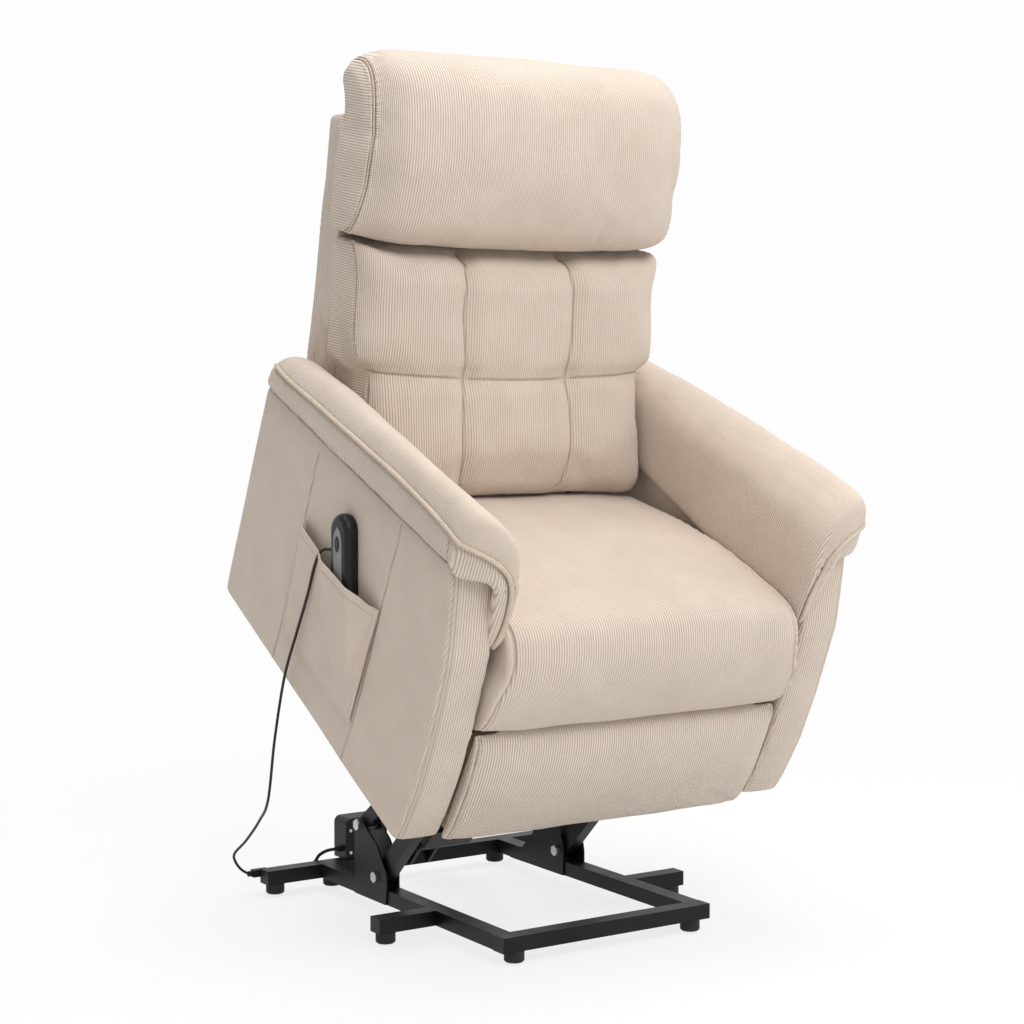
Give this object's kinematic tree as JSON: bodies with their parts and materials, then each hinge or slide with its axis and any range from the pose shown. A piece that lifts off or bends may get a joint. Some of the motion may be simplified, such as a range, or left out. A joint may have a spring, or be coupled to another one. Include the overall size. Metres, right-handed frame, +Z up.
{
  "type": "lift recliner chair",
  "caption": "Upholstered recliner armchair on a powered lift base, shown tilted forward, with padded arms, footrest, head pillow, side pocket and corded handset.",
  "frame": {"origin": "on the floor at the middle of the base, side to side and front to rear", "axes": "+X towards the sitter's left, -Y towards the chair's front, +Z up; at rest the chair is raised and tilted forward"},
  "size_m": [0.8029, 0.8588, 1.453],
  "materials": {
    "frame_steel": "satin black powder coat",
    "bolt_steel": "bright zinc plate",
    "black_plastic": "fine matt texture",
    "black_rubber": "matt",
    "rod_steel": "polished rod",
    "corduroy": "fine-wale corduroy",
    "plywood": "bare ply",
    "handset_grey": "satin"
  },
  "bodies": {
    "base": {"base_rail_left": "frame_steel", "base_rail_right": "frame_steel", "base_front_tube": "frame_steel", "base_rear_tube": "frame_steel", "outrigger_left": "frame_steel", "outrigger_right": "frame_steel", "tube_end_caps": "black_plastic", "feet": "black_plastic", "bracket_outer_left": "frame_steel", "bracket_outer_right": "frame_steel", "bracket_inner_left": "frame_steel", "bracket_inner_right": "frame_steel", "base_pivot_bolts": "bolt_steel", "lift_motor_lugs": "frame_steel", "control_box": "black_plastic", "control_box_screws": "bolt_steel", "lead_gland": "black_plastic", "control_lead": "black_rubber", "cord_connector": "black_plastic", "handset_cord": "black_rubber"},
    "lift_links": {"lift_link_left": "frame_steel", "lift_link_right": "frame_steel", "lift_cross_tube": "frame_steel"},
    "rear_links": {"rear_link_left": "frame_steel", "rear_link_right": "frame_steel"},
    "lift_motor": {"lift_motor": "black_plastic"},
    "lift_rod": {"lift_rod": "rod_steel"},
    "chair": {"side_plate_left": "frame_steel", "side_plate_right": "frame_steel", "cross_tubes": "frame_steel", "lift_tube": "frame_steel", "chair_pins": "bolt_steel", "arm_left": "corduroy", "arm_right": "corduroy", "arm_pad_left": "corduroy", "arm_pad_right": "corduroy", "seat_end_rails": "plywood", "seat_side_rails": "plywood", "seat_springs": "frame_steel", "seat_cushion": "corduroy", "pocket": "corduroy", "handset_body": "black_plastic", "handset_panel": "handset_grey"},
    "lift_rocker": {"lift_rocker": "black_plastic"},
    "recline_rocker": {"recline_rocker": "black_plastic"},
    "back": {"back_shell": "corduroy", "back_cushion": "corduroy", "head_pillow": "corduroy", "back_hinges": "frame_steel"},
    "drive": {"foot_drive_arms": "frame_steel", "drive_tube": "frame_steel"},
    "foot_support": {"foot_support_arms": "frame_steel"},
    "foot_swing": {"foot_swing_arms": "frame_steel"},
    "foot_guide": {"foot_guide_arms": "frame_steel"},
    "footrest": {"foot_board": "plywood", "foot_cushion": "corduroy", "foot_brackets": "frame_steel"},
    "recline_motor": {"recline_motor": "black_plastic"},
    "recline_rod": {"recline_rod": "rod_steel"}
  },
  "joints": [
    {"name": "lift", "type": "hinge", "parent": "base", "child": "lift_links", "pos_m": [0, 0.086, 0.061], "axis": [1, 0, 0], "range_deg": [0, 42.2], "deforming": ["handset_cord"]},
    {"name": "chair_tilt", "type": "hinge", "parent": "lift_links", "child": "chair", "pos_m": [0, -0.15807, 0.2967], "axis": [1, 0, 0], "range_deg": [-72.2, 0]},
    {"name": "rear_link_swing", "type": "hinge", "parent": "base", "child": "rear_links", "pos_m": [0, 0.147, 0.141], "axis": [1, 0, 0], "range_deg": [0, 40.39]},
    {"name": "lift_motor_swing", "type": "hinge", "parent": "base", "child": "lift_motor", "pos_m": [0, 0.262, 0.062], "axis": [1, 0, 0], "range_deg": [0, 30.67]},
    {"name": "lift_rod_stroke", "type": "slide", "parent": "lift_motor", "child": "lift_rod", "axis": [0, -0.7031, 0.7111], "range_m": [-0.11049, 0]},
    {"name": "recline", "type": "hinge", "parent": "chair", "child": "drive", "pos_m": [0, -0.20255, 0.45034], "axis": [1, 0, 0], "range_deg": [-103, 0]},
    {"name": "foot_support_swing", "type": "hinge", "parent": "chair", "child": "foot_support", "pos_m": [0, -0.15869, 0.45177], "axis": [1, 0, 0], "range_deg": [-102.4, 0]},
    {"name": "foot_swing", "type": "hinge", "parent": "drive", "child": "foot_swing", "pos_m": [0, -0.0705, 0.39265], "axis": [1, 0, 0], "range_deg": [0, 95]},
    {"name": "foot_guide", "type": "hinge", "parent": "drive", "child": "foot_guide", "pos_m": [0, -0.02487, 0.37271], "axis": [1, 0, 0], "range_deg": [0, 94.9]},
    {"name": "footrest_turn", "type": "hinge", "parent": "foot_swing", "child": "footrest", "pos_m": [0, -0.32999, 0.37086], "axis": [1, 0, 0], "range_deg": [-79.5, 0]},
    {"name": "back_recline", "type": "hinge", "parent": "chair", "child": "back", "pos_m": [0, 0.13493, 0.69161], "axis": [1, 0, 0], "range_deg": [-32, 0]},
    {"name": "recline_motor_swing", "type": "hinge", "parent": "chair", "child": "recline_motor", "pos_m": [0, 0.12838, 0.54695], "axis": [1, 0, 0], "range_deg": [0, 1.73]},
    {"name": "recline_rod_stroke", "type": "slide", "parent": "recline_motor", "child": "recline_rod", "axis": [0, -0.9433, -0.3318], "range_m": [0, 0.06117]},
    {"name": "lift_rocker_press", "type": "hinge", "parent": "chair", "child": "lift_rocker", "pos_m": [-0.4011, -0.14883, 0.66109], "axis": [0, 1, 0], "range_deg": [-4, 4], "stiffness_Nm_per_rad": 0.3},
    {"name": "recline_rocker_press", "type": "hinge", "parent": "chair", "child": "recline_rocker", "pos_m": [-0.4011, -0.14883, 0.58509], "axis": [0, 1, 0], "range_deg": [-4, 4], "stiffness_Nm_per_rad": 0.3}
  ],
  "couplings": [
    {"joint": "chair_tilt", "follows": "lift", "ratio": -1.7109},
    {"joint": "rear_link_swing", "follows": "lift", "ratio": 0.957},
    {"joint": "lift_motor_swing", "follows": "lift", "ratio": 0.72661},
    {"joint": "lift_rod_stroke", "follows": "lift", "m_per_rad": -0.15001},
    {"joint": "foot_support_swing", "follows": "recline", "ratio": 0.99418},
    {"joint": "foot_swing", "follows": "recline", "ratio": -0.92233},
    {"joint": "foot_guide", "follows": "recline", "ratio": -0.92136},
    {"joint": "footrest_turn", "follows": "recline", "ratio": 0.77185},
    {"joint": "back_recline", "follows": "recline", "ratio": 0.31068},
    {"joint": "recline_motor_swing", "follows": "recline", "ratio": -0.016764},
    {"joint": "recline_rod_stroke", "follows": "recline", "m_per_rad": -0.034028}
  ]
}
